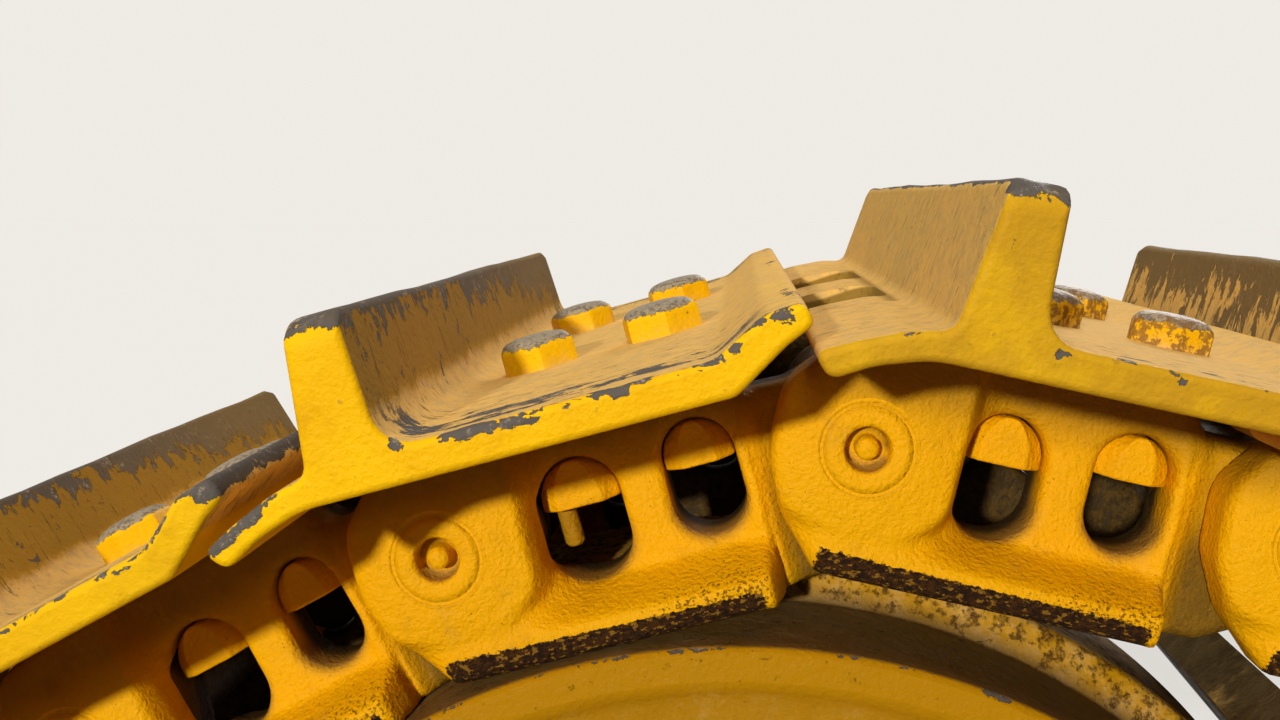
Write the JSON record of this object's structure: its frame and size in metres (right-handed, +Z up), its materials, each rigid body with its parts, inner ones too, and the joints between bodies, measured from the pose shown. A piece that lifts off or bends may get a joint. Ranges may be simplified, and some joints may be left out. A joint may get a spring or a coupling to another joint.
{
  "type": "crawler track assembly of a bulldozer",
  "caption": "Crawler track of a bulldozer with grouser shoes on a link chain, front idler, track frame, rollers and drive sprocket.",
  "frame": {"origin": "centre of the pivot bore through the track frame, in the chain's middle plane", "axes": "+X forward along the track, +Y outboard along the pivot bore, +Z up"},
  "size_m": [3.8617, 0.58, 1.1105],
  "materials": {
    "yellow_paint": "satin",
    "worn_steel": "matte",
    "dark_steel": "satin",
    "bronze": "satin"
  },
  "bodies": {
    "root": {"track_shoes": "yellow_paint", "outboard_links": "yellow_paint", "inboard_links": "yellow_paint", "track_bushings": "dark_steel", "idler_shaft": "dark_steel", "outboard_idler_bearing": "yellow_paint", "inboard_idler_bearing": "yellow_paint", "bearing_caps": "yellow_paint", "yoke_head": "yellow_paint", "outboard_yoke_arm": "yellow_paint", "inboard_yoke_arm": "yellow_paint", "recoil_rod": "dark_steel", "adjuster_cover": "yellow_paint", "equaliser_seat": "yellow_paint", "pivot_liner": "bronze", "track_frame": "yellow_paint", "bottom_rollers": "worn_steel", "outboard_roller_guard": "yellow_paint", "inboard_roller_guard": "yellow_paint", "guard_ribs": "yellow_paint", "carrier_rollers": "worn_steel", "carrier_shafts": "dark_steel", "carrier_brackets": "yellow_paint", "sprocket_rim": "worn_steel", "final_drive": "yellow_paint", "hub_cover": "yellow_paint"},
    "idler": {"idler_wheel": "yellow_paint"}
  },
  "joints": [
    {"name": "idler_spin", "type": "hinge", "parent": "root", "child": "idler", "pos_m": [2.05, 0, 0], "axis": [0, 1, 0], "continuous": true}
  ]
}
